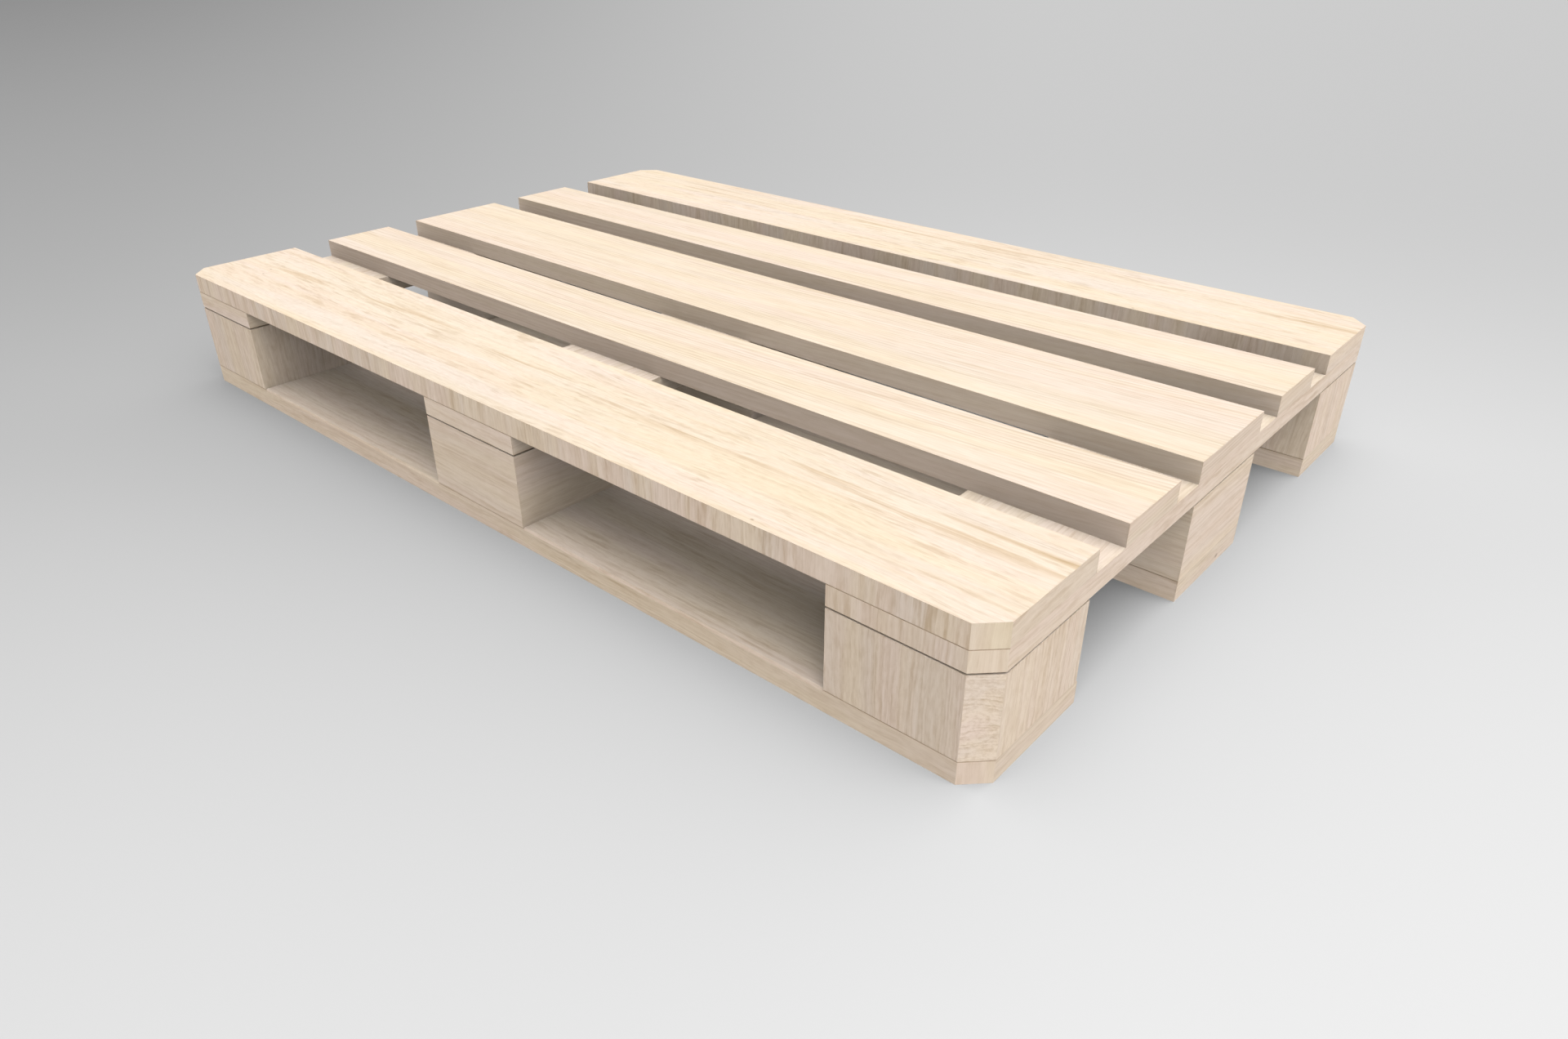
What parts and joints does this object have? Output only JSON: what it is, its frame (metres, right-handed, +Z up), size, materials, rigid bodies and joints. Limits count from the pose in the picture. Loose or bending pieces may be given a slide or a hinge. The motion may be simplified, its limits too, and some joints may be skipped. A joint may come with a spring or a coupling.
{
  "type": "wooden pallet",
  "caption": "Wooden block pallet: spaced deck boards on cross boards, blocks and bottom boards, nailed together, with cut corners and fork openings on every side.",
  "frame": {"origin": "on the floor under the middle of the pallet's 1200 x 800 mm plan", "axes": "+X along the deck boards (the 1200 mm side), +Y across them to the back long side, +Z up to the load"},
  "size_m": [1.2, 0.8, 0.144],
  "materials": {
    "deck_wood": "sawn and planed, untreated, pale",
    "cross_wood": "sawn and planed, untreated, slightly pink",
    "block_wood": "sawn, untreated, pale",
    "bottom_wood": "sawn and planed, untreated, slightly yellow",
    "nail_steel": "plain ring-shank wire nail"
  },
  "bodies": {
    "root": {"deck_board_front_outer": "deck_wood", "deck_board_front_inner": "deck_wood", "deck_board_centre": "deck_wood", "deck_board_back_inner": "deck_wood", "deck_board_back_outer": "deck_wood", "cross_board_left": "cross_wood", "cross_board_centre": "cross_wood", "cross_board_right": "cross_wood", "block_front_left": "block_wood", "block_front_centre": "block_wood", "block_front_right": "block_wood", "block_centre_left": "block_wood", "block_centre_centre": "block_wood", "block_centre_right": "block_wood", "block_back_left": "block_wood", "block_back_centre": "block_wood", "block_back_right": "block_wood", "bottom_board_front": "bottom_wood", "bottom_board_centre": "bottom_wood", "bottom_board_back": "bottom_wood", "deck_nails_front": "nail_steel", "deck_nails_centre": "nail_steel", "deck_nails_back": "nail_steel", "short_nails_front_inner": "nail_steel", "short_nails_back_inner": "nail_steel", "bottom_nails_front": "nail_steel", "bottom_nails_centre": "nail_steel", "bottom_nails_back": "nail_steel"}
  },
  "joints": []
}
